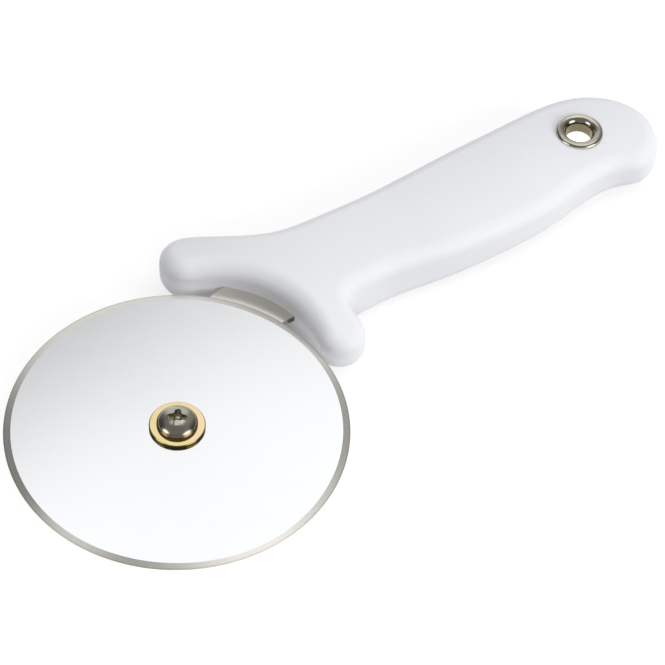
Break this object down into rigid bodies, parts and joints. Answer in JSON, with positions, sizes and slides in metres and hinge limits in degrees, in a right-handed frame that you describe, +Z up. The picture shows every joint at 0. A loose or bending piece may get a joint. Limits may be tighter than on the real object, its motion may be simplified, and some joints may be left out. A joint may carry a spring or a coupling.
{
  "type": "pizza cutter wheel",
  "caption": "Pizza cutter with a free-spinning round blade on a flat steel bracket, set in an offset plastic handle with a finger guard and a hanging hole.",
  "frame": {"origin": "middle of the whole cutter's footprint, at its lowest height, with the cutter lying flat", "axes": "+X runs along the grip from the blade to the butt; +Z points up along the blade's axis, out of the screw's head; +Y points to the long thumb side of the guard"},
  "size_m": [0.2412, 0.1104, 0.0207],
  "materials": {
    "handle_plastic": "satin moulded polypropylene, white",
    "bracket_steel": "plain rolled stainless sheet",
    "blade_steel": "polished stainless with a ground bevel",
    "brass": "turned brass",
    "screw_steel": "bright stainless fastener",
    "nickel": "nickel plated"
  },
  "bodies": {
    "handle_frame": {"handle": "handle_plastic", "bracket": "bracket_steel", "pivot_bushing": "brass", "spacer_washer": "brass", "pivot_screw": "screw_steel", "spring_washer": "screw_steel", "pivot_nut": "screw_steel", "eyelet": "nickel", "eyelet_washer": "nickel"},
    "wheel": {"blade": "blade_steel"}
  },
  "joints": [
    {"name": "wheel_spin", "type": "hinge", "parent": "handle_frame", "child": "wheel", "pos_m": [-0.07057, -0.0052, 0.01247], "axis": [0, 0, 1], "continuous": true}
  ]
}
